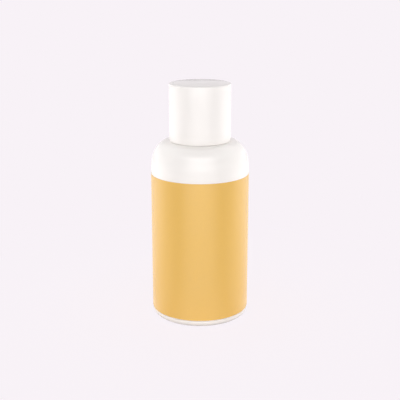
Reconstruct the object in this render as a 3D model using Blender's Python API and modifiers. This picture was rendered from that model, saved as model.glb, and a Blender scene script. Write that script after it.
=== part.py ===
"""Airless pump bottle with a round shoulder, a wrap label and a pull-off cap.

Metres, +Z up. The origin is the centre of the face that the bottle stands on, and the spout
points along -Y. Every piece that moves slides along the Z axis or turns about it.
"""

import math

import bmesh
import bpy

# Gaps: between faces that rest on each other, round a fitted piece, and round a running piece
seat_gap = 0.0003
fit_gap = 0.00025
slide_gap = 0.0003

# Pump stem, and the spring round it
stem_bore = 0.00135
stem_wall = 0.0011
stem_shoulder = 0.00095
stem_shoulder_height = 0.0007
window_width = 0.0009
window_height = 0.0012
wire_diameter = 0.0007
spring_clearance = 0.000825
spring_end_gap = 0.0002
spring_turns = 6.5
closed_turns = 0.75

# Piston rod in the stem
rod_radius = 0.00105
rod_length = 0.0042
rod_barb = 0.0001
rod_barb_height = 0.0006
rod_head_radius = 0.0039
rod_head_height = 0.0008

# Sliding piston, and how far the button and the piston travel
stroke = 0.004
piston_slip = 0.0008
piston_height = 0.0042
piston_sleeve = 0.0008
piston_web = 0.001
piston_rim = 0.0007
piston_lip = 0.0003
piston_lip_height = 0.0007

# Stem guide in the top of the housing
guide_wall = 0.0009
guide_height = 0.0031
guide_floor = 0.0007
guide_flange = 0.00105
guide_flange_height = 0.0007

# Pump housing
housing_wall = 0.0009
housing_flange = 0.0015
housing_flange_height = 0.0013
tail_radius = 0.0038
tail_height = 0.002
tail_taper = 0.0016
inlet_bore = 0.0009

# Inlet ball and its cage
ball_radius = 0.00125
ball_lift = 0.0008
ball_gap = 0.00015
ball_clearance = 0.0004
cage_wall = 0.001
cage_plate = 0.0007
cage_skirt = 0.0007
cage_hole = 0.0003

# Inner container, with the neck that carries the pump
neck_clearance = 0.0005
neck_wall = 0.0012
neck_rise = 0.0028
neck_flange = 0.0024
neck_flange_height = 0.001
snap_depth = 0.0004
snap_drop = 0.0012
snap_lead = 0.0004
gasket_thickness = 0.0007
gasket_inset = 0.0001
container_wall = 0.0009
container_roof = 0.001
container_corner = 0.0012
container_drop = 0.0009

# Collar with its chimney
collar_wall = 0.00075
collar_deck = 0.0009
collar_edge = 0.0005
lug_lead = 0.0003
chimney_wall = 0.0011

# Button with its spout
button_height = 0.00905
button_wall = 0.0012
button_roof = 0.001
button_dish = 0.0003
button_edge = 0.0007
spout_reach = 0.0011
spout_radius = 0.0022
spout_root = 0.0007
outlet_drop = 0.0031

# Core of the button, and the nozzle insert that it feeds
core_disc = 0.0007
socket_wall = 0.0012
socket_depth = 0.0025
socket_drop = 0.00375
channel_radius = 0.0012
channel_rise = 0.00075
boss_radius = 0.0013
boss_clearance = 0.0014
outlet_bore = 0.0006
nozzle_radius = 0.0014
nozzle_bore = 0.0005
nozzle_throat = 0.0008
nozzle_recess = 0.0003

# Overcap and its liner
spout_clearance = 0.0004
button_clearance = 0.0006
liner_wall = 0.00065
liner_roof = 0.0008
liner_corner = 0.0008
liner_recess = 0.0006
liner_bead = 0.0001
liner_bead_level = 0.0018
liner_bead_height = 0.0006
cap_wall = 0.0012
cap_roof = 0.0013
cap_edge = 0.0006
cap_rim = 0.0002

# Outer bottle and its label
body_radius = 0.0196
bottle_height = 0.0733
shell_wall = 0.0022
shell_roof = 0.002
shoulder_rise = 0.0104
shoulder_land = 0.0006
base_round = 0.0024
label_thickness = 0.00015
label_margin = 0.0029

# Base plug
foot_flange = 0.0009
foot_ring = 0.0052
foot_recess = 0.0005
plug_floor = 0.0012
plug_ring = 0.0009
plug_height = 0.0047
plug_bead = 0.0003
plug_bead_level = 0.0026
plug_bead_height = 0.0007
vent_radius = 0.00055

# Follower piston
follower_height = 0.011
follower_wall = 0.0012
follower_lip = 0.00105
follower_lip_height = 0.0024
follower_lip_tip = 0.00055
follower_groove = 0.0016
well_clearance = 0.0005

# How round things are drawn, and how far a cutter runs past what it cuts
shell_sides = 48
inner_sides = 36
small_sides = 24
bar_sides = 16
ball_rings = 10
dome_steps = 8
corner_steps = 3
turn_steps = 10
smooth_angle = math.radians(35)
merge_distance = 0.000001
overrun = 0.0005

# Radii, from the stem outwards to the bottle's shoulder
stem_radius = stem_bore + stem_wall
guide_bore = stem_radius + wire_diameter + 2 * spring_clearance
guide_radius = guide_bore + guide_wall
chamber_radius = guide_radius + slide_gap
housing_radius = chamber_radius + housing_wall
neck_bore = housing_radius + neck_clearance
neck_radius = neck_bore + neck_wall
collar_bore = neck_radius + snap_depth + fit_gap
collar_radius = collar_bore + collar_wall
liner_bore = collar_radius + slide_gap
liner_radius = liner_bore + liner_wall
cap_bore = liner_radius + fit_gap
cap_radius = cap_bore + cap_wall
dome_radius = cap_radius + shoulder_land

# Radii of the button and its spout, inside the liner
spout_end = liner_bore - spout_clearance
button_radius = spout_end - spout_reach
button_bore = button_radius - button_wall
boss_end = button_bore - boss_clearance

# Radii, from the bottle's wall inwards to the follower piston
label_radius = body_radius + fit_gap + label_thickness
bottle_bore = body_radius - shell_wall
plug_radius = bottle_bore - fit_gap
container_radius = bottle_bore - seat_gap
container_bore = container_radius - container_wall
follower_lip_radius = container_bore - fit_gap
follower_radius = follower_lip_radius - follower_lip
follower_bore = follower_radius - follower_wall

# Radii of the inlet valve
pocket_radius = ball_radius + ball_clearance
cage_radius = pocket_radius + cage_wall

# Levels, from the standing face up to the top of the overcap
shell_level = foot_flange + seat_gap
container_level = plug_height + seat_gap
shoulder_level = bottle_height - shoulder_rise
ceiling_level = shoulder_level - container_drop - container_roof
cover_level = bottle_height + seat_gap
neck_top = bottle_height + neck_rise
gasket_level = neck_top + seat_gap
flange_level = gasket_level + gasket_thickness + seat_gap
flange_top = flange_level + housing_flange_height
deck_level = flange_top + seat_gap
deck_top = deck_level + collar_deck
button_level = deck_top + stroke + seat_gap
button_top = button_level + button_height
outlet_level = button_top - outlet_drop
socket_level = outlet_level - socket_drop
chimney_top = outlet_level - boss_radius - stroke - seat_gap
core_top = button_top - button_dish - button_roof - seat_gap
liner_level = cover_level + liner_recess
liner_ceiling = button_top + button_clearance
liner_top = liner_ceiling + liner_roof
cap_ceiling = liner_top + fit_gap
cap_top = cap_ceiling + cap_roof

# Levels, from the stem guide down to the pump's inlet
guide_level = flange_top - guide_height
spring_level = guide_level + guide_floor + seat_gap
spring_length = socket_level - seat_gap - spring_level
shoulder_top = guide_level - seat_gap
piston_top = shoulder_top - stem_shoulder_height - seat_gap - piston_slip
piston_level = piston_top - piston_height
stem_level = piston_level
rod_head_top = piston_level - seat_gap
rod_level = rod_head_top - rod_head_height
chamber_floor = rod_level - stroke - seat_gap
cage_ceiling = chamber_floor - cage_plate
cage_level = cage_ceiling - cage_skirt
ball_level = cage_ceiling - ball_gap - ball_lift - ball_radius
# The ball keeps its gap to a seat of 45 degrees that opens from the inlet's bore.
seat_level = ball_level + inlet_bore - (ball_radius + ball_gap) * math.sqrt(2)
tail_level = seat_level - inlet_bore

# The follower piston rises until its crown meets the ceiling, and its well takes the pump's tail.
crown_level = container_level + follower_height
follower_travel = ceiling_level - seat_gap - crown_level
well_radius = tail_radius + well_clearance
well_depth = max(crown_level + follower_travel - tail_level, 0) + well_clearance


def clear_scene():
    for obj in list(bpy.data.objects):
        bpy.data.objects.remove(obj, do_unlink=True)


def new_collection(name):
    made = bpy.data.collections.new(name)
    bpy.context.scene.collection.children.link(made)
    return made


def finish(name, colour, roughness, metallic=0.0):
    made = bpy.data.materials.new(name)
    made.use_nodes = True
    shader = made.node_tree.nodes["Principled BSDF"]
    shader.inputs["Base Color"].default_value = (*colour, 1.0)
    shader.inputs["Roughness"].default_value = roughness
    shader.inputs["Metallic"].default_value = metallic
    made.diffuse_color = (*colour, 1.0)
    return made


def white_gloss():
    return finish("white_gloss", (0.90, 0.885, 0.86), 0.22)


def honey_label():
    return finish("honey_label", (0.87, 0.54, 0.20), 0.38)


def white_satin():
    return finish("white_satin", (0.86, 0.85, 0.83), 0.42)


def natural_plastic():
    return finish("natural_plastic", (0.74, 0.75, 0.73), 0.35)


def soft_plastic():
    return finish("soft_plastic", (0.80, 0.80, 0.78), 0.55)


def acetal():
    return finish("acetal", (0.70, 0.72, 0.72), 0.40)


def gasket_rubber():
    return finish("gasket_rubber", (0.35, 0.36, 0.37), 0.65)


def spring_steel():
    return finish("spring_steel", (0.58, 0.58, 0.57), 0.28, 1.0)


def polished_steel():
    return finish("polished_steel", (0.66, 0.66, 0.65), 0.12, 1.0)


def height_of(frame):
    """How high a frame stands above the ground."""
    return 0 if frame is None else frame.location.z + height_of(frame.parent)


def place(obj, level, frame):
    """Puts an object on the Z axis at a height above the ground, carried by a frame."""
    obj.parent = frame
    obj.location.z = level - height_of(frame)


def frame_at(name, level, frame=None):
    """An empty on the Z axis that carries the pieces of one body."""
    made = bpy.data.objects.new(name, None)
    made.empty_display_size = stroke
    parts.objects.link(made)
    place(made, level, frame)
    return made


def arc(centre, radii, start, end, steps):
    """Points along part of an ellipse, both ends too. Angles are degrees up from straight out."""
    angles = [math.radians(start + (end - start) * step / steps) for step in range(steps + 1)]
    return [
        (centre[0] + radii[0] * math.cos(angle), centre[1] + radii[1] * math.sin(angle))
        for angle in angles
    ]


def smooth(mesh):
    mesh.shade_smooth()
    mesh.set_sharp_from_angle(angle=smooth_angle)


def mesh_from(name, shape):
    mesh = bpy.data.meshes.new(name)
    shape.to_mesh(mesh)
    shape.free()
    return mesh


def add_piece(name, data, surface, level, frame):
    obj = bpy.data.objects.new(name, data)
    data.materials.append(surface)
    parts.objects.link(obj)
    place(obj, level, frame)
    return obj


def turned(name, outline, sides, surface, level, frame):
    """Turns an outline of (radius, height) points round Z. It runs down the outside and up the
    bore, or from the axis to the axis, and its heights count from the piece's own level."""
    shape = bmesh.new()
    corners = [shape.verts.new((radius, 0, height)) for radius, height in outline]
    for first, second in zip(corners, corners[1:]):
        shape.edges.new((first, second))
    if outline[0][0] > 0:
        shape.edges.new((corners[-1], corners[0]))
    obj = add_piece(name, mesh_from(name, shape), surface, level, frame)
    screw = obj.modifiers.new("Turn", "SCREW")
    screw.axis = "Z"
    screw.angle = math.tau
    screw.steps = sides
    screw.render_steps = sides
    screw.use_merge_vertices = True
    screw.merge_threshold = merge_distance
    settle(obj)
    return obj


def settle(obj):
    """Makes what an object's modifiers give its own mesh, smooth up to the sharp edges."""
    graph = bpy.context.evaluated_depsgraph_get()
    mesh = bpy.data.meshes.new_from_object(obj.evaluated_get(graph))
    obj.modifiers.clear()
    obj.data = mesh
    smooth(mesh)


def helper(name, shape, level, frame):
    """A hidden solid that a piece is cut by or joined with."""
    mesh = mesh_from(name, shape)
    smooth(mesh)
    obj = bpy.data.objects.new(name, mesh)
    obj.display_type = "WIRE"
    obj.hide_render = True
    cutters.objects.link(obj)
    place(obj, level, frame)
    return obj


def bar_shape(radius, near, far):
    """A round bar along Z, from near to far."""
    shape = bmesh.new()
    bmesh.ops.create_cone(
        shape, cap_ends=True, segments=bar_sides, radius1=radius, radius2=radius, depth=far - near
    )
    bmesh.ops.translate(shape, verts=shape.verts, vec=(0, 0, (near + far) / 2))
    return shape


def block_shape(length, width, low, high):
    """A block across the axis, from low to high."""
    shape = bmesh.new()
    bmesh.ops.create_cube(shape, size=1)
    bmesh.ops.scale(shape, verts=shape.verts, vec=(length, width, high - low))
    bmesh.ops.translate(shape, verts=shape.verts, vec=(0, 0, (low + high) / 2))
    return shape


def outlet_bar(name, radius, near, far, frame):
    """A round bar on the outlet's axis, from near to far out along -Y."""
    obj = helper(name, bar_shape(radius, near, far), outlet_level, frame)
    obj.rotation_euler.x = math.radians(90)
    return obj


def combine(obj, tool, operation):
    step = obj.modifiers.new(tool.name, "BOOLEAN")
    step.operation = operation
    step.solver = "EXACT"
    step.object = tool


def make_outer_bottle(frame):
    """The outer wall: open below for the container, with a hole in its roof for the neck."""
    hole_radius = neck_radius + seat_gap
    round_radius = body_radius - base_round
    seam_angle = math.degrees(math.asin((base_round - shell_level) / base_round))
    groove_radius = plug_radius + plug_bead + seat_gap
    groove_low = plug_bead_level - seat_gap
    groove_high = plug_bead_level + plug_bead_height + seat_gap
    inner_rise = shoulder_rise - shell_roof
    dome = (dome_radius, shoulder_level)
    outline = [
        (hole_radius, bottle_height),
        *arc(dome, (body_radius - dome_radius, shoulder_rise), 90, 0, dome_steps),
        *arc((round_radius, base_round), (base_round, base_round), 0, -seam_angle, corner_steps),
        (bottle_bore, shell_level),
        (bottle_bore, groove_low),
        (groove_radius, groove_low),
        (groove_radius, groove_high),
        (bottle_bore, groove_high),
        *arc(dome, (bottle_bore - dome_radius, inner_rise), 0, 90, dome_steps),
        (hole_radius, bottle_height - shell_roof),
    ]
    turned("outer_bottle", outline, shell_sides, white_gloss(), 0, frame)


def make_wrap_label(frame):
    inner = body_radius + fit_gap
    height = shoulder_level - 2 * label_margin
    outline = [(label_radius, height), (label_radius, 0), (inner, 0), (inner, height)]
    turned("wrap_label", outline, shell_sides, honey_label(), label_margin, frame)


def make_base_plug(frame):
    """The foot: it closes the bottle, and its rings carry the container and the follower."""
    round_radius = body_radius - base_round
    flange_angle = math.degrees(math.asin((base_round - foot_flange) / base_round))
    ring_radius = round_radius - foot_ring
    floor_top = foot_recess + plug_floor
    ring_bore = plug_radius - plug_ring
    bead_top = plug_bead_level + plug_bead_height
    outline = [
        (vent_radius, floor_top),
        (follower_bore, floor_top),
        (follower_bore, plug_height),
        (follower_radius, plug_height),
        (follower_radius, floor_top),
        (ring_bore, floor_top),
        (ring_bore, plug_height),
        (plug_radius, plug_height),
        (plug_radius, bead_top + plug_bead),
        (plug_radius + plug_bead, bead_top),
        (plug_radius + plug_bead, plug_bead_level),
        (plug_radius, plug_bead_level),
        (plug_radius, foot_flange),
        *arc((round_radius, base_round), (base_round, base_round), -flange_angle, -90, corner_steps),
        (ring_radius, 0),
        (ring_radius - foot_recess, foot_recess),
        (vent_radius, foot_recess),
    ]
    turned("base_plug", outline, inner_sides, white_gloss(), 0, frame)


def make_inner_container(frame):
    """The inner wall: open below for the follower, with the neck that the collar snaps onto."""
    top = neck_top - container_level
    flange_radius = neck_radius + neck_flange
    neck_flange_top = bottle_height - shell_roof - seat_gap - container_level
    ceiling = ceiling_level - container_level
    roof = ceiling + container_roof
    corner = (container_radius - container_corner, roof - container_corner)
    outline = [
        (neck_bore, top),
        (neck_radius, top),
        (neck_radius + snap_depth, top - snap_lead),
        (neck_radius + snap_depth, top - snap_drop),
        (neck_radius, top - snap_drop),
        (neck_radius, neck_flange_top),
        (flange_radius, neck_flange_top),
        (flange_radius, neck_flange_top - neck_flange_height),
        (neck_radius, neck_flange_top - neck_flange_height),
        (neck_radius, roof),
        *arc(corner, (container_corner, container_corner), 90, 0, corner_steps),
        (container_radius, 0),
        (container_bore, 0),
        (container_bore, ceiling),
        (neck_bore, ceiling),
    ]
    turned("inner_container", outline, inner_sides, natural_plastic(), container_level, frame)


def make_follower_piston(frame):
    """A crown with a well for the pump's tail, over a skirt with a lip at each end."""
    well_floor = follower_height - well_depth
    crown_under = follower_height - follower_wall
    well_outside = well_radius + follower_wall
    lip_inner = follower_lip_radius - follower_lip_tip
    groove_floor = follower_height - follower_groove
    outline = [
        (0, well_floor),
        (well_radius, well_floor),
        (well_radius, follower_height),
        (follower_bore, follower_height),
        (follower_radius - follower_lip_tip, groove_floor),
        (follower_radius, groove_floor),
        (lip_inner, follower_height),
        (follower_lip_radius, follower_height),
        (follower_lip_radius, follower_height - follower_lip_tip),
        (follower_radius, follower_height - follower_lip_height),
        (follower_radius, follower_lip_height),
        (follower_lip_radius, follower_lip_tip),
        (lip_inner, 0),
        (follower_bore, 0),
        (follower_bore, crown_under),
        (well_outside, crown_under),
        (well_outside, well_floor - follower_wall),
        (0, well_floor - follower_wall),
    ]
    turned("follower_piston", outline, inner_sides, soft_plastic(), container_level, frame)


def make_neck_gasket(frame):
    inner = housing_radius + fit_gap
    outer = neck_radius - gasket_inset
    outline = [(outer, gasket_thickness), (outer, 0), (inner, 0), (inner, gasket_thickness)]
    turned("neck_gasket", outline, small_sides, gasket_rubber(), gasket_level, frame)


def make_pump_housing(frame):
    """The dosing chamber, with a flange over the neck and the inlet valve's seat in its tail."""
    flange_radius = housing_radius + housing_flange
    counterbore = guide_radius + guide_flange + fit_gap
    counterbore_floor = flange_top - guide_flange_height - seat_gap - tail_level
    floor = chamber_floor - tail_level
    cage_bore = cage_radius + fit_gap
    cage_floor = cage_level - seat_gap - tail_level
    seat = seat_level - tail_level
    outline = [
        (counterbore, flange_top - tail_level),
        (flange_radius, flange_top - tail_level),
        (flange_radius, flange_level - tail_level),
        (housing_radius, flange_level - tail_level),
        (housing_radius, tail_height + tail_taper),
        (tail_radius, tail_height),
        (tail_radius, 0),
        (inlet_bore, 0),
        (inlet_bore, seat),
        (pocket_radius, seat + pocket_radius - inlet_bore),
        (pocket_radius, cage_floor),
        (cage_bore, cage_floor),
        (cage_bore, floor),
        (chamber_radius, floor),
        (chamber_radius, counterbore_floor),
        (counterbore, counterbore_floor),
    ]
    turned("pump_housing", outline, small_sides, natural_plastic(), tail_level, frame)


def make_ball_cage(frame):
    """A small cup over the ball, with four holes in its plate for the product."""
    outline = [
        (0, cage_skirt + cage_plate),
        (cage_radius, cage_skirt + cage_plate),
        (cage_radius, 0),
        (pocket_radius, 0),
        (pocket_radius, cage_skirt),
        (0, cage_skirt),
    ]
    cage = turned("ball_cage", outline, small_sides, acetal(), cage_level, frame)
    for quarter in range(4):
        shape = bar_shape(cage_hole, cage_skirt - overrun, cage_skirt + cage_plate + overrun)
        drill = helper(f"cage_drill_{quarter + 1}", shape, cage_level, frame)
        drill.location.x = ball_radius * math.cos(quarter * math.pi / 2)
        drill.location.y = ball_radius * math.sin(quarter * math.pi / 2)
        combine(cage, drill, "DIFFERENCE")


def make_inlet_ball(frame):
    shape = bmesh.new()
    bmesh.ops.create_uvsphere(
        shape, u_segments=bar_sides, v_segments=ball_rings, radius=ball_radius
    )
    ball = add_piece("inlet_ball", mesh_from("inlet_ball", shape), polished_steel(), ball_level, frame)
    smooth(ball.data)


def make_stem_guide(frame):
    """The cup in the housing's mouth: the stem slides in its floor, and the spring stands on it."""
    flange_radius = guide_radius + guide_flange
    outline = [
        (guide_bore, guide_height),
        (flange_radius, guide_height),
        (flange_radius, guide_height - guide_flange_height),
        (guide_radius, guide_height - guide_flange_height),
        (guide_radius, 0),
        (stem_radius + slide_gap, 0),
        (stem_radius + slide_gap, guide_floor),
        (guide_bore, guide_floor),
    ]
    turned("stem_guide", outline, small_sides, acetal(), guide_level, frame)


def make_collar(frame):
    """The snap-on closure: a lug under the neck's bead, a deck over the pump, and the chimney."""
    lug_radius = neck_radius + fit_gap
    lug_top = neck_top - snap_drop - seat_gap - cover_level
    deck = deck_top - cover_level
    under = deck_level - cover_level
    edge = (collar_radius - collar_edge, deck - collar_edge)
    outline = [
        (guide_bore, chimney_top - cover_level),
        (guide_bore + chimney_wall, chimney_top - cover_level),
        (guide_bore + chimney_wall, deck),
        *arc(edge, (collar_edge, collar_edge), 90, 0, corner_steps),
        (collar_radius, 0),
        (lug_radius + lug_lead, 0),
        (lug_radius, lug_lead),
        (lug_radius, lug_top),
        (collar_bore, lug_top),
        (collar_bore, under),
        (guide_bore, under),
    ]
    turned("collar", outline, inner_sides, white_satin(), cover_level, frame)


def make_return_spring(frame):
    """A helix whose end turns lie closed, standing on the stem guide under the core's socket."""
    travel = spring_length - wire_diameter
    closed_rise = closed_turns * (wire_diameter + spring_end_gap)
    pitch = (travel - 2 * closed_rise) / (spring_turns - 2 * closed_turns)
    curve = bpy.data.curves.new("return_spring", "CURVE")
    curve.dimensions = "3D"
    curve.bevel_depth = wire_diameter / 2
    curve.bevel_resolution = 2
    curve.use_fill_caps = True
    wire = curve.splines.new("POLY")
    count = round(spring_turns * turn_steps)
    wire.points.add(count)
    for step, point in enumerate(wire.points):
        turns = spring_turns * step / count
        from_end = min(turns, spring_turns - turns)
        rise = from_end * closed_rise / closed_turns
        if from_end > closed_turns:
            rise = closed_rise + (from_end - closed_turns) * pitch
        if turns > spring_turns / 2:
            rise = travel - rise
        angle = turns * math.tau
        across = (stem_radius + guide_bore) / 2
        point.co = (across * math.cos(angle), across * math.sin(angle), wire_diameter / 2 + rise, 1)
    add_piece("return_spring", curve, spring_steel(), spring_level, frame)


def make_pump_stem(frame):
    """The hollow stem, with a shoulder that drives the piston and two windows at its foot."""
    top = socket_level + socket_depth - seat_gap - stem_level
    shoulder = shoulder_top - stem_level
    outline = [
        (stem_bore, top),
        (stem_radius, top),
        (stem_radius, shoulder),
        (stem_radius + stem_shoulder, shoulder),
        (stem_radius + stem_shoulder, shoulder - stem_shoulder_height),
        (stem_radius, shoulder - stem_shoulder_height),
        (stem_radius, 0),
        (stem_bore, 0),
    ]
    stem = turned("pump_stem", outline, small_sides, acetal(), stem_level, frame)
    across = 2 * (stem_radius + overrun)
    window = helper(
        "stem_window", block_shape(across, window_width, -overrun, window_height), stem_level, frame
    )
    combine(stem, window, "DIFFERENCE")


def make_piston_rod(frame):
    """The pin in the stem's foot, whose head shuts the sliding piston from below."""
    top = rod_head_height + rod_length
    outline = [
        (0, top),
        (rod_radius, top),
        (rod_radius + rod_barb, top - rod_barb_height / 2),
        (rod_radius, top - rod_barb_height),
        (rod_radius, rod_head_height),
        (rod_head_radius, rod_head_height),
        (rod_head_radius, 0),
        (0, 0),
    ]
    turned("piston_rod", outline, small_sides, acetal(), rod_level, frame)


def make_sliding_piston(frame):
    """A sleeve on the stem and a rim with two lips in the chamber, joined by a web."""
    sleeve_bore = stem_radius + slide_gap
    sleeve_radius = sleeve_bore + piston_sleeve
    lip_radius = chamber_radius - fit_gap
    rim_radius = lip_radius - piston_lip
    rim_bore = rim_radius - piston_rim
    web_low = (piston_height - piston_web) / 2
    web_high = (piston_height + piston_web) / 2
    outline = [
        (sleeve_bore, piston_height),
        (sleeve_radius, piston_height),
        (sleeve_radius, web_high),
        (rim_bore, web_high),
        (rim_bore, piston_height),
        (lip_radius, piston_height),
        (rim_radius, piston_height - piston_lip_height),
        (rim_radius, piston_lip_height),
        (lip_radius, 0),
        (rim_bore, 0),
        (rim_bore, web_low),
        (sleeve_radius, web_low),
        (sleeve_radius, 0),
        (sleeve_bore, 0),
    ]
    turned("sliding_piston", outline, small_sides, soft_plastic(), piston_level, frame)


def make_actuator_button(frame):
    """The cup that the finger presses, with a dished top and the spout on its side."""
    rim = button_radius - button_edge
    roof_under = button_height - button_dish - button_roof
    dish = [
        (rim * step / corner_steps, button_height - button_dish * (1 - (step / corner_steps) ** 2))
        for step in range(corner_steps)
    ]
    outline = [
        *dish,
        *arc((rim, button_height - button_edge), (button_edge, button_edge), 90, 0, corner_steps),
        (button_radius, 0),
        (button_bore, 0),
        (button_bore, roof_under),
        (0, roof_under),
    ]
    button = turned("actuator_button", outline, inner_sides, white_satin(), button_level, frame)
    spout = outlet_bar("spout", spout_radius, button_radius - spout_root, spout_end, frame)
    combine(button, spout, "UNION")
    bore = outlet_bar(
        "spout_bore", nozzle_radius + fit_gap, button_bore - overrun, spout_end + overrun, frame
    )
    combine(button, bore, "DIFFERENCE")


def make_actuator_core(frame):
    """The inner part of the button: the stem's socket, and the channel out to the nozzle."""
    socket_bore = stem_radius + fit_gap
    socket_radius = socket_bore + socket_wall
    top = core_top - socket_level
    channel_top = socket_drop + channel_rise
    outline = [
        (0, top),
        (boss_end, top),
        (boss_end, top - core_disc),
        (socket_radius, top - core_disc),
        (socket_radius, 0),
        (socket_bore, 0),
        (socket_bore, socket_depth),
        (channel_radius, socket_depth),
        (channel_radius, channel_top),
        (0, channel_top),
    ]
    core = turned("actuator_core", outline, small_sides, white_satin(), socket_level, frame)
    boss = outlet_bar("outlet_boss", boss_radius, socket_radius - overrun, boss_end, frame)
    combine(core, boss, "UNION")
    bore = outlet_bar("outlet_channel", outlet_bore, 0, boss_end + overrun, frame)
    combine(core, bore, "DIFFERENCE")


def make_nozzle_insert(frame):
    """The tube in the spout: it meets the core's boss, and narrows to the outlet."""
    near = boss_end + seat_gap
    length = spout_end - nozzle_recess - near
    outline = [
        (nozzle_bore, length),
        (nozzle_radius, length),
        (nozzle_radius, 0),
        (outlet_bore, 0),
        (outlet_bore, length - nozzle_throat),
        (nozzle_bore, length - nozzle_throat),
    ]
    nozzle = turned("nozzle_insert", outline, bar_sides, acetal(), outlet_level, frame)
    nozzle.rotation_euler.x = math.radians(90)
    nozzle.location.y = -near


def make_overcap_liner(frame):
    """The inner cup, whose bead grips the collar."""
    height = liner_top - liner_level
    corner = (liner_radius - liner_corner, height - liner_corner)
    bead = (liner_bore, liner_bead_level + liner_bead_height / 2)
    outline = [
        (0, height),
        *arc(corner, (liner_corner, liner_corner), 90, 0, corner_steps),
        (liner_radius, 0),
        (liner_bore, 0),
        *arc(bead, (liner_bead, liner_bead_height / 2), -90, -270, corner_steps),
        (liner_bore, liner_ceiling - liner_level),
        (0, liner_ceiling - liner_level),
    ]
    turned("overcap_liner", outline, inner_sides, white_satin(), liner_level, frame)


def make_overcap(frame):
    height = cap_top - cover_level
    outline = [
        (0, height),
        *arc((cap_radius - cap_edge, height - cap_edge), (cap_edge, cap_edge), 90, 0, corner_steps),
        *arc((cap_radius - cap_rim, cap_rim), (cap_rim, cap_rim), 0, -90, corner_steps),
        (cap_bore, 0),
        (cap_bore, cap_ceiling - cover_level),
        (0, cap_ceiling - cover_level),
    ]
    turned("overcap", outline, shell_sides, white_gloss(), cover_level, frame)


clear_scene()
parts = new_collection("airless_pump_bottle")
cutters = new_collection("airless_pump_bottle_cutters")

bottle = frame_at("bottle_frame", 0)
make_outer_bottle(bottle)
make_wrap_label(bottle)
make_base_plug(bottle)
make_inner_container(bottle)
make_neck_gasket(bottle)
make_pump_housing(bottle)
make_ball_cage(bottle)
make_stem_guide(bottle)
make_collar(bottle)
make_return_spring(bottle)

follower = frame_at("follower_frame", container_level, bottle)
make_follower_piston(follower)

ball = frame_at("ball_frame", ball_level, bottle)
make_inlet_ball(ball)

plunger = frame_at("plunger_frame", stem_level, bottle)
make_pump_stem(plunger)
make_piston_rod(plunger)

piston = frame_at("piston_frame", piston_level, plunger)
make_sliding_piston(piston)

actuator = frame_at("actuator_frame", outlet_level, plunger)
make_actuator_button(actuator)
make_actuator_core(actuator)
make_nozzle_insert(actuator)

overcap = frame_at("overcap_frame", cover_level, bottle)
make_overcap(overcap)
make_overcap_liner(overcap)
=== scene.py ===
import math

import bmesh
import bpy
from mathutils import Matrix


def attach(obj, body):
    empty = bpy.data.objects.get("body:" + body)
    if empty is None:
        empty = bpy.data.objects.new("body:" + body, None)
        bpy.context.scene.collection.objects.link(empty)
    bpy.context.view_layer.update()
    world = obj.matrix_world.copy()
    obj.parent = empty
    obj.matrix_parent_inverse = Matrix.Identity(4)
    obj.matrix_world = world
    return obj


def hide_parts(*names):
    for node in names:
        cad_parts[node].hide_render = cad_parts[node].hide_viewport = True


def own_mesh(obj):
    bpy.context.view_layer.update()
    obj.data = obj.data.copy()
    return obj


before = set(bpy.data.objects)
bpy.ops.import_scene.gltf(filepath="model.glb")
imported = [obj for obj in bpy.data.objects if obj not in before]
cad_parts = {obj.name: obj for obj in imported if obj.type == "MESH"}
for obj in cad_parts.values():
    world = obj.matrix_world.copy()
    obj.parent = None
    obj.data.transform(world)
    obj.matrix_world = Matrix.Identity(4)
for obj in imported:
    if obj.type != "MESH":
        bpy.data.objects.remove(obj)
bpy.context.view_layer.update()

# Sizes, in metres. Levels are heights over the face that the bottle stands on. Radii are round
# the bottle's axis, those of the spout and the nozzle round the outlet's.
mm = 0.001
body_radius = 19.8 * mm
bottle_bore = 17.4 * mm
dome_radius = 13.0 * mm       # where the shoulder's curve meets the flat top
shoulder_level = 62.9 * mm
bottle_height = 73.3 * mm
base_round = 2.4 * mm
neck_hole = 8.9 * mm
label_radius = 20.0 * mm
label_high = 60.0 * mm
film_low = 3.05 * mm
foot_flange = 0.9 * mm
plug_radius = 17.15 * mm
plug_height = 4.7 * mm
groove_high = 3.6 * mm        # the foot's snap sits in the shell's groove up to here
cap_level = 73.38 * mm
cap_top = 96.2 * mm
cap_radius = 12.4 * mm
cap_bore = 11.2 * mm
cap_ceiling = 94.9 * mm
liner_radius = 10.95 * mm
liner_bore = 10.3 * mm
liner_level = 74.2 * mm
liner_ceiling = 93.85 * mm
liner_top = 94.65 * mm
collar_radius = 10.0 * mm
collar_level = 73.6 * mm
deck_under = 79.0 * mm
deck_top = 79.9 * mm
chimney_bore = 4.8 * mm
chimney_radius = 5.9 * mm
chimney_top = 84.55 * mm
button_level = 84.2 * mm
button_top = 93.25 * mm
button_radius = 8.8 * mm
button_bore = 7.6 * mm
outlet_level = 90.15 * mm
spout_end = 9.9 * mm          # out from the bottle's axis
spout_radius = 2.2 * mm
boss_end = 6.2 * mm           # of the button's core, in the same way
nozzle_radius = 1.4 * mm
spring_level = 76.6 * mm
spring_length = 9.5 * mm
spring_radius = 3.625 * mm
wire_radius = 0.35 * mm

# How finely round things are drawn, and what is merged or counts as an edge
many_sides = 192
few_sides = 128
small_sides = 64
touching = 0.001 * mm
soft_angle = math.radians(32)


# Shapes

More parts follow.
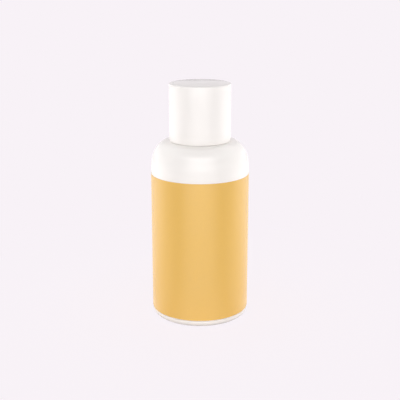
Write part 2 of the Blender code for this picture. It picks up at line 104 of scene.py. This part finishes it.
def arc(shape, centre, radii, start, end, steps):
    """Part of an ellipse in the plane of the outline, swept by one vertex. Angles are degrees
    up from straight out."""
    before = len(shape.verts)
    angle = math.radians(start)
    place = (centre[0] + radii[0] * math.cos(angle), 0, centre[1] + radii[0] * math.sin(angle))
    first = shape.verts.new(place)
    bmesh.ops.spin(
        shape, geom=[first], cent=(centre[0], 0, centre[1]), axis=(0, -1, 0), dvec=(0, 0, 0),
        angle=math.radians(end - start), steps=steps, use_merge=False, use_normal_flip=False,
        use_duplicate=False,
    )
    swept = shape.verts[:][before:]
    bmesh.ops.scale(
        shape, verts=swept, vec=(1, 1, radii[1] / radii[0]),
        space=Matrix.Translation((-centre[0], 0, -centre[1])),
    )
    return swept


def outline(shape, parts):
    """Joins corners (radius, level), rounded corners (radius, level, rounding) and arcs
    ("arc", centre, radii, start, end, steps) into one wire, closed unless both of its ends lie
    on the axis."""
    wire = []
    rounded = []
    for part in parts:
        if part[0] == "arc":
            wire += arc(shape, *part[1:])
            continue
        wire.append(shape.verts.new((part[0], 0, part[1])))
        if len(part) > 2:
            rounded.append((wire[-1], part[2]))
    for first, second in zip(wire, wire[1:]):
        if shape.edges.get((first, second)) is None:
            shape.edges.new((first, second))
    if max(wire[0].co.x, wire[-1].co.x) > touching:
        shape.edges.new((wire[-1], wire[0]))
    for vertex, rounding in rounded:
        bmesh.ops.bevel(
            shape, geom=[vertex], offset=rounding, segments=4, profile=0.5,
            affect="VERTICES", material=-1,
        )


def turn(shape, geometry, angle, steps):
    """Spins an outline or a face about the bottle's axis into a closed solid."""
    all_round = angle == math.tau
    bmesh.ops.spin(
        shape, geom=geometry, cent=(0, 0, 0), axis=(0, 0, 1), dvec=(0, 0, 0), angle=angle,
        steps=steps, use_merge=all_round, use_normal_flip=False, use_duplicate=False,
    )
    bmesh.ops.remove_doubles(shape, verts=shape.verts, dist=touching)
    bmesh.ops.recalc_face_normals(shape, faces=shape.faces)


def spun(parts, sides):
    """The outline turned all the way round."""
    shape = bmesh.new()
    outline(shape, parts)
    turn(shape, shape.verts[:] + shape.edges[:], math.tau, sides)
    return shape


def laid(shape, near):
    """Turns a shape made along Z onto the outlet's axis, from y = -near outwards."""
    upright_to_outlet = Matrix.Rotation(math.pi / 2, 4, "X")
    bmesh.ops.transform(
        shape, verts=shape.verts,
        matrix=Matrix.Translation((0, -near, outlet_level)) @ upright_to_outlet,
    )
    return shape


def place_object(name, shape):
    """Puts a finished shape into the scene as an object at the origin."""
    mesh = bpy.data.meshes.new(name)
    shape.to_mesh(mesh)
    shape.free()
    placed = bpy.data.objects.new(name, mesh)
    bpy.context.scene.collection.objects.link(placed)
    return placed


def smooth(mesh):
    """Shades round faces smooth and keeps true edges sharp."""
    mesh.shade_smooth()
    mesh.set_sharp_from_angle(angle=soft_angle)


def add_piece(name, shape, surfaces, body, *nodes):
    piece = place_object(name, shape)
    for surface in surfaces:
        piece.data.materials.append(surface)
    smooth(piece.data)
    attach(piece, body)
    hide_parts(*nodes)
    return piece


# Finishes

class Nodes:
    """Short calls for the nodes of a material or of the world."""

    def __init__(self, tree):
        self.tree = tree

    def node(self, kind, **values):
        made = self.tree.nodes.new(kind)
        for name, value in values.items():
            setattr(made, name, value)
        return made

    def link(self, source, target):
        self.tree.links.new(source, target)

    def put(self, term, socket):
        """Sets a socket to a number or links it to another node's output."""
        if isinstance(term, (int, float)):
            socket.default_value = term
        else:
            self.link(term, socket)

    def math(self, operation, *terms):
        made = self.node("ShaderNodeMath", operation=operation)
        for term, socket in zip(terms, made.inputs):
            self.put(term, socket)
        return made.outputs[0]

    def times(self, first, second):
        return self.math("MULTIPLY", first, second)

    def ramp(self, source, start, end, low, high, smoothed=True):
        """Goes from low to high as the source goes from start to end."""
        made = self.node(
            "ShaderNodeMapRange", interpolation_type="SMOOTHSTEP" if smoothed else "LINEAR"
        )
        self.link(source, made.inputs["Value"])
        self.put(start, made.inputs["From Min"])
        self.put(end, made.inputs["From Max"])
        self.put(low, made.inputs["To Min"])
        self.put(high, made.inputs["To Max"])
        return made.outputs["Result"]

    def around(self, place):
        """How far round from the front a place is, on either side, with 1 at the back, and its
        height."""
        parts = self.node("ShaderNodeSeparateXYZ")
        self.link(place, parts.inputs[0])
        towards_front = self.times(parts.outputs["Y"], -1.0)
        angle = self.math("ARCTAN2", parts.outputs["X"], towards_front)
        return self.math("DIVIDE", self.math("ABSOLUTE", angle), math.pi), parts.outputs["Z"]

    def by_azimuth(self, azimuth, levels):
        """A level for each azimuth, from pairs of degrees and level. The colour ramp holds them
        as shares of the brightest."""
        brightest = 8.0
        made = self.node("ShaderNodeValToRGB")
        self.link(azimuth, made.inputs[0])
        stops = made.color_ramp.elements
        for stop, (degrees, _) in zip(list(stops), (levels[0], levels[-1])):
            stop.position = degrees / 180
        for degrees, _ in levels[1:-1]:
            stops.new(degrees / 180)
        for stop, (_, level) in zip(stops, levels):
            stop.color = (level / brightest,) * 3 + (1,)
        return self.times(made.outputs["Color"], brightest)

    def seen(self):
        """1 for what the eye, the gloss and clear plastic see, and 1 for the gloss alone."""
        path = self.node("ShaderNodeLightPath")
        gloss = path.outputs["Is Glossy Ray"]
        mirrored = self.math("ADD", path.outputs["Is Camera Ray"], gloss)
        any_of_them = self.math("ADD", mirrored, path.outputs["Is Transmission Ray"])
        return self.math("MINIMUM", 1.0, any_of_them), gloss

    def emitter(self, kind, colour, strength):
        made = self.node(kind)
        made.inputs["Color"].default_value = (*colour, 1)
        self.put(strength, made.inputs["Strength"])
        return made.outputs[0]

    def layered(self, share, lamp, view, shine, output):
        """The lamp's shader, with the view laid over it by share and the shine added."""
        mix = self.node("ShaderNodeMixShader")
        for source, socket in zip((share, lamp, view), mix.inputs):
            self.link(source, socket)
        both = self.node("ShaderNodeAddShader")
        self.link(mix.outputs[0], both.inputs[0])
        self.link(shine, both.inputs[1])
        self.link(both.outputs[0], output)


class Surface(Nodes):
    """A material under construction."""

    def __init__(self, name):
        self.material = bpy.data.materials.new(name)
        self.material.use_nodes = True
        super().__init__(self.material.node_tree)
        self.shader = self.tree.nodes["Principled BSDF"]
        self.place = self.node("ShaderNodeTexCoord").outputs["Object"]

    def stretched(self, scale):
        mapping = self.node("ShaderNodeMapping")
        mapping.inputs["Scale"].default_value = scale
        self.link(self.place, mapping.inputs["Vector"])
        return mapping.outputs["Vector"]

    def noise(self, scale, detail, roughness=0.5, where=None):
        made = self.node("ShaderNodeTexNoise")
        made.inputs["Scale"].default_value = scale
        made.inputs["Detail"].default_value = detail
        made.inputs["Roughness"].default_value = roughness
        self.link(self.place if where is None else where, made.inputs["Vector"])
        return made.outputs["Fac"]

    def spread(self, noise, low, high):
        """Maps a noise's middle range onto low to high."""
        return self.ramp(noise, 0.3, 0.7, low, high, smoothed=False)

    def colour(self, noise, colour, darker, lighter):
        """The base colour, between a darker and a lighter share of it as the noise goes."""
        made = self.node("ShaderNodeMix", data_type="RGBA")
        made.inputs["A"].default_value = (*tinted(colour, darker), 1)
        made.inputs["B"].default_value = (*tinted(colour, lighter), 1)
        self.link(self.spread(noise, 0, 1), made.inputs["Factor"])
        self.link(made.outputs["Result"], self.shader.inputs["Base Color"])

    def polish(self, noise, smoothest, roughest):
        self.link(self.spread(noise, smoothest, roughest), self.shader.inputs["Roughness"])

    def bump(self, height, strength, depth):
        made = self.node("ShaderNodeBump")
        made.inputs["Strength"].default_value = strength
        made.inputs["Distance"].default_value = depth
        self.link(height, made.inputs["Height"])
        self.link(made.outputs["Normal"], self.shader.inputs["Normal"])


def tinted(colour, share):
    return tuple(channel * share for channel in colour)


def moulded(name, colour, gloss, waviness=1.0, cloudiness=0.006, index=1.5, glow=0.0):
    """Moulded plastic: faint flow clouds in the colour, a fine orange peel, and a gloss that
    varies a little where hands and the tool have polished it."""
    made = Surface(name)
    clouds = made.noise(scale=55, detail=3.0)
    made.colour(clouds, colour, 1 - cloudiness, 1 + cloudiness)
    handling = made.noise(scale=260, detail=4.0, roughness=0.6)
    made.polish(handling, gloss - 0.015, gloss + 0.015)
    orange_peel = made.noise(scale=1500, detail=2.0)
    made.bump(orange_peel, strength=0.2 * waviness, depth=0.004 * mm)
    made.shader.inputs["IOR"].default_value = index
    if glow:
        made.shader.inputs["Subsurface Weight"].default_value = glow
        made.shader.inputs["Subsurface Radius"].default_value = (1.0, 0.9, 0.8)
        made.shader.inputs["Subsurface Scale"].default_value = 0.8 * mm
    return made.material


def film(name, colour, gloss):
    """Printed film on the body: a very fine fibre in the print under a satin varnish."""
    made = Surface(name)
    fibre = made.noise(scale=3200, detail=3.0, roughness=0.6, where=made.stretched((1, 1, 0.4)))
    made.colour(fibre, colour, 0.985, 1.015)
    varnish = made.noise(scale=120, detail=2.0)
    made.polish(varnish, gloss - 0.012, gloss + 0.012)
    made.bump(fibre, strength=0.1, depth=0.001 * mm)
    made.shader.inputs["IOR"].default_value = 1.55
    return made.material


def steel(name, colour, gloss, drawn):
    """Steel with fine drawing lines or a polish."""
    made = Surface(name)
    lines = made.noise(scale=900, detail=3.0, roughness=0.6, where=made.stretched((1, 1, drawn)))
    made.colour(lines, colour, 0.94, 1.04)
    made.polish(lines, gloss - 0.04, gloss + 0.06)
    made.bump(lines, strength=0.2, depth=0.003 * mm)
    made.shader.inputs["Metallic"].default_value = 1.0
    return made.material


white_gloss = moulded("white_gloss", (0.900, 0.866, 0.835), 0.16, waviness=0.5, index=1.55)
cap_white = moulded("cap_white", (0.900, 0.866, 0.835), 0.15, waviness=0.5, index=1.55)
liner_white = moulded("liner_white", (0.84, 0.83, 0.81), 0.42)
button_white = moulded("button_white", (0.86, 0.845, 0.825), 0.36)
honey_film = film("honey_film", (0.763, 0.454, 0.085), 0.25)
film_cut = film("film_cut", (0.62, 0.43, 0.20), 0.6)
milky = moulded("milky_plastic", (0.74, 0.75, 0.73), 0.38, glow=0.3)
soft_white = moulded("soft_white", (0.80, 0.80, 0.78), 0.55, glow=0.2)
acetal = moulded("uncoloured_acetal", (0.70, 0.72, 0.72), 0.42)
rubber = moulded("grey_rubber", (0.35, 0.36, 0.37), 0.65, cloudiness=0.05)
wire_steel = steel("drawn_wire", (0.58, 0.58, 0.57), 0.28, drawn=0.2)
ball_steel = steel("polished_ball", (0.66, 0.66, 0.65), 0.12, drawn=1.0)


# The bottle

def make_shell():
    """The outer shell, hollow, with a fine line round it under the label."""
    seam = 0.95 * mm          # the shell ends here, and the foot's round edge goes on
    seam_angle = math.degrees(math.asin((base_round - seam) / base_round))
    groove = 17.75 * mm
    groove_low = 2.3 * mm
    line_depth = 0.4 * mm
    line_low = film_low - 0.35 * mm
    wall = body_radius - bottle_bore
    roof = 2.0 * mm
    dome = (dome_radius, shoulder_level)
    rise = bottle_height - shoulder_level
    foot_round = (body_radius - base_round, base_round)
    parts = [
        (neck_hole, bottle_height, 0.25 * mm),
        ("arc", dome, (body_radius - dome_radius, rise), 90, 0, 28),
        (body_radius, film_low),
        (body_radius - line_depth, film_low),
        (body_radius - line_depth, line_low),
        (body_radius, line_low, 0.06 * mm),
        ("arc", foot_round, (base_round, base_round), 0, -seam_angle, 8),
        (bottle_bore, seam),
        (bottle_bore, groove_low),
        (groove, groove_low),
        (groove, groove_high),
        (bottle_bore, groove_high),
        ("arc", dome, (body_radius - dome_radius - wall, rise - roof), 0, 90, 16),
        (neck_hole, bottle_height - roof),
    ]
    piece = add_piece(
        "bottle_shell", spun(parts, many_sides), [white_gloss], "bottle", "outer_bottle"
    )


def make_label():
    """The film goes once round, and its end lies over its start at the back."""
    under = body_radius + 0.02 * mm
    outer = label_radius - 0.08 * mm
    flap_under = outer - 0.02 * mm
    flap_start = math.radians(76)     # round from +X, so that the back is at 90 degrees
    flap_turn = math.radians(20)
    shape = spun(
        [
            (outer, label_high, 0.05 * mm),
            (outer, film_low, 0.05 * mm),
            (under, film_low),
            (under, label_high),
        ],
        many_sides,
    )
    flap = bmesh.new()
    corners = (
        (label_radius, label_high), (label_radius, film_low),
        (flap_under, film_low), (flap_under, label_high),
    )
    face = flap.faces.new([flap.verts.new((radius, 0, level)) for radius, level in corners])
    bmesh.ops.rotate(
        flap, verts=flap.verts, cent=(0, 0, 0), matrix=Matrix.Rotation(flap_start, 3, "Z")
    )
    turn(flap, [face, *face.edges[:], *face.verts[:]], flap_turn, steps=12)
    flap_mesh = bpy.data.meshes.new("label_flap")
    flap.to_mesh(flap_mesh)
    flap.free()
    shape.from_mesh(flap_mesh)
    bpy.data.meshes.remove(flap_mesh)
    for face in shape.faces:
        face.normal_update()
        is_cut = abs(face.normal.z) > 0.8
        face.material_index = 1 if is_cut else 0
    piece = add_piece("label_film", shape, [honey_film, film_cut], "bottle", "wrap_label")


def make_foot():
    """The plug that closes the shell: a standing ring, a vent, and two rings that stand up
    inside, the outer one with the snap."""
    flange_angle = math.degrees(math.asin((base_round - foot_flange) / base_round))
    foot_round = (body_radius - base_round, base_round)
    standing = 12.0 * mm
    recess = 0.5 * mm
    vent = 0.55 * mm
    floor_top = 1.7 * mm
    rib_inside = 13.7 * mm
    rib_outside = 14.9 * mm
    skirt_inside = 16.25 * mm
    snap = 17.45 * mm
    snap_high = 3.3 * mm
    snap_low = 2.6 * mm
    parts = [
        (vent, floor_top),
        (rib_inside, floor_top, 0.15 * mm),
        (rib_inside, plug_height, 0.15 * mm),
        (rib_outside, plug_height, 0.15 * mm),
        (rib_outside, floor_top),
        (skirt_inside, floor_top),
        (skirt_inside, plug_height, 0.15 * mm),
        (plug_radius, plug_height),
        (plug_radius, groove_high),
        (snap, snap_high),
        (snap, snap_low),
        (plug_radius, snap_low),
        (plug_radius, foot_flange),
        ("arc", foot_round, (base_round, base_round), -flange_angle, -90, 8),
        (standing, 0, 0.1 * mm),
        (standing - recess, recess, 0.15 * mm),
        (vent, recess, 0.1 * mm),
    ]
    piece = add_piece("foot_plug", spun(parts, many_sides), [white_gloss], "bottle", "base_plug")


def make_collar():
    """The snap-on collar with its chimney, and the lug that grips the neck."""
    bore = 9.25 * mm
    lug = 8.85 * mm
    lug_top = 74.6 * mm
    chamfer = 0.3 * mm
    parts = [
        (chimney_bore, chimney_top, 0.25 * mm),
        (chimney_radius, chimney_top, 0.25 * mm),
        (chimney_radius, deck_top, 0.3 * mm),
        (collar_radius, deck_top, 0.5 * mm),
        (collar_radius, collar_level, 0.2 * mm),
        (lug + chamfer, collar_level),
        (lug, collar_level + chamfer),
        (lug, lug_top),
        (bore, lug_top),
        (bore, deck_under, 0.3 * mm),
        (chimney_bore, deck_under, 0.2 * mm),
    ]
    piece = add_piece("neck_collar", spun(parts, few_sides), [button_white], "bottle", "collar")


# The overcap

def make_cap():
    parts = [
        (0, cap_top),
        (cap_radius, cap_top, 0.4 * mm),
        (cap_radius, cap_level, 0.05 * mm),
        (cap_bore, cap_level, 0.1 * mm),
        (cap_bore, cap_ceiling, 0.4 * mm),
        (0, cap_ceiling),
    ]
    piece = add_piece("cap_shell", spun(parts, many_sides), [cap_white], "overcap", "overcap")


def make_liner():
    """The cap's inner cup, with the bead that grips the collar."""
    bead = 10.2 * mm
    bead_low, bead_high = 76.0 * mm, 76.6 * mm
    crest_low, crest_high = 76.2 * mm, 76.4 * mm
    parts = [
        (0, liner_top),
        (liner_radius, liner_top, 0.8 * mm),
        (liner_radius, liner_level, 0.15 * mm),
        (liner_bore, liner_level, 0.2 * mm),
        (liner_bore, bead_low),
        (bead, crest_low, 0.05 * mm),
        (bead, crest_high, 0.05 * mm),
        (liner_bore, bead_high),
        (liner_bore, liner_ceiling, 0.4 * mm),
        (0, liner_ceiling),
    ]
    piece = add_piece(
        "cap_liner", spun(parts, few_sides), [liner_white], "overcap", "overcap_liner"
    )


# The button

def make_button():
    """A dished cup, joined with its spout and drilled for the nozzle."""
    roof_under = button_top - 1.3 * mm
    dish = 0.3 * mm
    rounding = 0.7 * mm
    rim = button_radius - rounding
    hollow = (rim**2 + dish**2) / (2 * dish)     # the radius of the dish
    sweep = math.degrees(math.asin(rim / hollow))
    parts = [
        ("arc", (0, button_top - dish + hollow), (hollow, hollow), -90, sweep - 90, 12),
        ("arc", (rim, button_top - rounding), (rounding, rounding), 90, 0, 8),
        (button_radius, button_level, 0.25 * mm),
        (button_bore, button_level, 0.15 * mm),
        (button_bore, roof_under, 0.3 * mm),
        (0, roof_under),
    ]
    piece = add_piece(
        "press_button", spun(parts, few_sides), [button_white], "actuator", "actuator_button"
    )
    spout_start = 7.9 * mm
    spout_length = spout_end - spout_start
    spout = [
        (0, spout_length), (spout_radius, spout_length, 0.2 * mm), (spout_radius, 0), (0, 0),
    ]
    drill_start = 7.4 * mm
    drill_length = 3 * mm
    drill_radius = 1.65 * mm
    drill = [(0, drill_length), (drill_radius, drill_length), (drill_radius, 0), (0, 0)]
    for name, tool, start, operation in (
        ("spout", spout, spout_start, "UNION"), ("drill", drill, drill_start, "DIFFERENCE"),
    ):
        helper = place_object(name, laid(spun(tool, small_sides), start))
        join = piece.modifiers.new(name, "BOOLEAN")
        join.operation = operation
        join.object = helper
        join.solver = "EXACT"
        graph = bpy.context.evaluated_depsgraph_get()
        joined = bpy.data.meshes.new_from_object(piece.evaluated_get(graph))
        piece.modifiers.clear()
        piece.data = joined
        bpy.data.objects.remove(helper)
    shape = bmesh.new()
    shape.from_mesh(piece.data)
    bmesh.ops.remove_doubles(shape, verts=shape.verts, dist=2 * touching)
    shape.to_mesh(piece.data)
    shape.free()
    smooth(piece.data)


def make_nozzle():
    """The tube in the spout, with a thin lip round its mouth."""
    bore = 0.5 * mm
    inner = 0.6 * mm
    clearance = 0.3 * mm
    lip = 0.8 * mm
    near = boss_end + clearance
    length = spout_end - clearance - near
    parts = [
        (bore, length, 0.1 * mm),
        (nozzle_radius, length, 0.1 * mm),
        (nozzle_radius, 0),
        (inner, 0),
        (inner, length - lip),
        (bore, length - lip),
    ]
    piece = add_piece(
        "outlet_nozzle", laid(spun(parts, small_sides), near), [acetal], "actuator",
        "nozzle_insert",
    )


# The return spring

def make_spring():
    """A wound wire whose end turns lie closed."""
    turns = 6.5
    closed = 0.75             # turns at each end that lie closed
    closed_gap = 0.2 * mm
    steps_round = 36
    height = spring_length - 2 * wire_radius
    closed_rise = closed * (2 * wire_radius + closed_gap)
    pitch = (height - 2 * closed_rise) / (turns - 2 * closed)
    curve = bpy.data.curves.new("coil", "CURVE")
    curve.dimensions = "3D"
    curve.bevel_depth = wire_radius
    curve.bevel_resolution = 4
    curve.use_fill_caps = True
    wire = curve.splines.new("POLY")
    count = round(turns * steps_round)
    wire.points.add(count)
    for step, point in enumerate(wire.points):
        wound = turns * step / count
        from_end = min(wound, turns - wound)
        rise = from_end * closed_rise / closed
        if from_end > closed:
            rise = closed_rise + (from_end - closed) * pitch
        if wound > turns / 2:
            rise = height - rise
        angle = wound * math.tau
        point.co = (
            spring_radius * math.cos(angle), spring_radius * math.sin(angle),
            spring_level + wire_radius + rise, 1,
        )
    coil = bpy.data.objects.new("coil", curve)
    bpy.context.scene.collection.objects.link(coil)
    graph = bpy.context.evaluated_depsgraph_get()
    mesh = bpy.data.meshes.new_from_object(coil.evaluated_get(graph))
    shape = bmesh.new()
    shape.from_mesh(mesh)
    bmesh.ops.remove_doubles(shape, verts=shape.verts, dist=touching)
    bpy.data.objects.remove(coil)
    bpy.data.meshes.remove(mesh)
    piece = add_piece("coil_spring", shape, [wire_steel], "bottle", "return_spring")
    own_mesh(piece)


make_shell()
make_label()
make_foot()
make_collar()
make_cap()
make_liner()
make_button()
make_nozzle()
make_spring()

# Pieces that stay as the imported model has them, in their own finish
carried = {
    "inner_container": milky,
    "pump_housing": milky,
    "follower_piston": soft_white,
    "sliding_piston": soft_white,
    "neck_gasket": rubber,
    "ball_cage": acetal,
    "stem_guide": acetal,
    "pump_stem": acetal,
    "piston_rod": acetal,
    "actuator_core": button_white,
    "inlet_ball": ball_steel,
}
for node, surface in carried.items():
    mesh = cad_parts[node].data
    if not mesh.materials:
        mesh.materials.append(surface)
    for index in range(len(mesh.materials)):
        mesh.materials[index] = surface


# The studio

backdrop = (0.939, 0.888, 0.930)
floor_colour = (0.93, 0.90, 0.92)
box_colour = (0.8, 0.8, 0.8)
white = (1, 1, 1)
horizon_light = 1.44
overhead_light = 0.30
foot_dimming = 0.6            # of the boxes in the gloss close to the foot
near_share = 0.88             # of the backdrop in what is seen of the floor near the object
near_glow = 1.042             # of that backdrop, which makes up for the rest
floor_half = 8                # metres from the middle to the floor's edge

# The soft boxes that the gloss shows: degrees round from the front, and how much brighter than
# the backdrop they are. The low ones stand round the object, the high ones hang over them.
low_boxes = (
    (6, 4.90), (18, 4.30), (30, 2.90), (48, 1.00), (72, 1.10), (96, 1.80), (120, 1.70),
    (144, 1.20), (168, 0.0),
)
high_boxes = (
    (26, 5.70), (42, 3.40), (60, 2.50), (84, 2.30), (114, 2.40), (150, 1.40), (180, 0.70),
)
top_box = 2.05

# The floor mirrored in the gloss, near the object and further out, in the same way
near_floor = (
    (0, 1.80), (18, 1.70), (30, 1.20), (48, 0.42), (72, 0.55), (96, 0.30), (120, 0.05),
    (144, 0.0), (180, 0.0),
)
far_floor = (
    (0, 2.35), (18, 2.15), (30, 1.55), (48, 0.25), (72, 0.50), (96, 1.40), (120, 1.10),
    (144, 0.30), (180, 0.10),
)

# Where one gives way to the next. In the world, from 0 at the horizon to 1 overhead:
horizon_fade = (0.50, 0.74)
low_fade = (0.54, 0.61)
high_fade = (0.75, 0.79)
# On the floor, in metres from the bottle's axis:
contact_fade = (0.0200, 0.0235)
foot_fade = (0.020, 0.034)
shadow_fade = (0.03, 0.12)
near_to_far = (-1.43, -0.52)      # as powers of ten: 37 mm and 302 mm


def make_floor():
    """A pale floor. Near the object the lamps light a part of what is seen of it, so the shadow
    there is kept, and further off it is seen as the plain backdrop."""
    shape = bmesh.new()
    bmesh.ops.create_grid(shape, x_segments=1, y_segments=1, size=floor_half)
    floor = place_object("studio_floor", shape)
    made = Surface("pale_floor")
    made.tree.nodes.remove(made.shader)
    matt = made.node("ShaderNodeBsdfDiffuse")
    matt.inputs["Color"].default_value = (*floor_colour, 1)
    length = made.node("ShaderNodeVectorMath", operation="LENGTH")
    made.link(made.place, length.inputs[0])
    reach = length.outputs["Value"]
    seen, gloss = made.seen()
    azimuth, _ = made.around(made.place)
    clear_of_foot = made.ramp(reach, *contact_fade, 0, 1)
    outwards = made.ramp(
        made.math("LOGARITHM", reach, 10.0), *near_to_far, 0, 1, smoothed=False
    )
    boxes = made.ramp(
        outwards, 0, 1, made.by_azimuth(azimuth, near_floor), made.by_azimuth(azimuth, far_floor),
        smoothed=False,
    )
    dimmed = made.ramp(reach, *foot_fade, foot_dimming, 1.0, smoothed=False)
    lit = made.times(made.times(gloss, clear_of_foot), dimmed)
    shine = made.emitter("ShaderNodeEmission", white, made.times(boxes, lit))
    glow = made.emitter(
        "ShaderNodeEmission", backdrop, made.ramp(reach, *shadow_fade, near_glow, 1.0)
    )
    in_shadow = made.times(gloss, made.math("SUBTRACT", 1.0, clear_of_foot))
    share = made.times(
        made.ramp(reach, *shadow_fade, near_share, 1.0), made.math("SUBTRACT", 1.0, in_shadow)
    )
    made.layered(
        made.times(seen, share), matt.outputs[0], glow, shine,
        made.tree.nodes["Material Output"].inputs["Surface"],
    )
    made.material.cycles.emission_sampling = "NONE"
    floor.data.materials.append(made.material)


def make_world():
    """Plain soft light from all round, brighter from the horizon than from overhead. The eye
    sees the backdrop instead, and the gloss sees it with the soft boxes."""
    world = bpy.data.worlds.new("studio")
    world.use_nodes = True
    world.cycles.sampling_method = "NONE"
    bpy.context.scene.world = world
    made = Nodes(world.node_tree)
    made.tree.nodes.clear()
    azimuth, height = made.around(made.node("ShaderNodeTexCoord").outputs["Generated"])
    seen, gloss = made.seen()
    light = made.emitter(
        "ShaderNodeBackground", white,
        made.ramp(height, *horizon_fade, horizon_light, overhead_light),
    )
    plain = made.emitter("ShaderNodeBackground", backdrop, 1.0)
    walls = made.ramp(
        height, *low_fade,
        made.by_azimuth(azimuth, low_boxes), made.by_azimuth(azimuth, high_boxes),
    )
    boxes = made.ramp(height, *high_fade, walls, top_box)
    shine = made.emitter("ShaderNodeBackground", box_colour, made.times(boxes, gloss))
    output = made.node("ShaderNodeOutputWorld").inputs["Surface"]
    made.layered(seen, light, plain, shine, output)


def floor_cards(name, azimuth, spread, strength, reaches):
    """Soft lamps that lie on the floor, wider as they get further from the object, and light it
    from below. They don't show in the gloss."""
    lift = 1 * mm
    angle = math.radians(azimuth)
    for near, far in zip(reaches, reaches[1:]):
        middle = (near + far) / 2
        light = bpy.data.lights.new(name, "AREA")
        light.shape = "RECTANGLE"
        light.size = 2 * middle * math.tan(math.radians(spread / 2))
        light.size_y = far - near
        light.energy = strength * math.pi * light.size * light.size_y
        holder = bpy.data.objects.new(name, light)
        holder.location = (middle * math.sin(angle), -middle * math.cos(angle), lift)
        holder.rotation_euler = (math.pi, 0, angle)
        holder.visible_camera = False
        holder.visible_glossy = False
        bpy.context.scene.collection.objects.link(holder)


make_floor()
make_world()
side_reaches = (0.024, 0.05, 0.1, 0.2, 0.4, 0.7)
for name, azimuth in (("left_card", -98), ("right_card", 98)):
    floor_cards(name, azimuth, spread=90, strength=0.64, reaches=side_reaches)
foot_reaches = (0.0212, 0.0265)
for azimuth in range(0, 360, 60):
    floor_cards("foot_card", azimuth, spread=60, strength=0.36, reaches=foot_reaches)

# The camera, fitted to the photo's outline
camera_tilt = 15.784          # degrees down
camera_place = (0, -0.3297, 0.1413)
lens = bpy.data.cameras.new("camera")
lens.lens = 50
lens.sensor_width = 24
lens.clip_start = 0.01
lens.clip_end = 30
camera = bpy.data.objects.new("camera", lens)
camera.location = camera_place
camera.rotation_euler = (math.radians(90 - camera_tilt), 0, 0)
bpy.context.scene.collection.objects.link(camera)
bpy.context.scene.camera = camera
bpy.context.scene.view_settings.view_transform = "Standard"
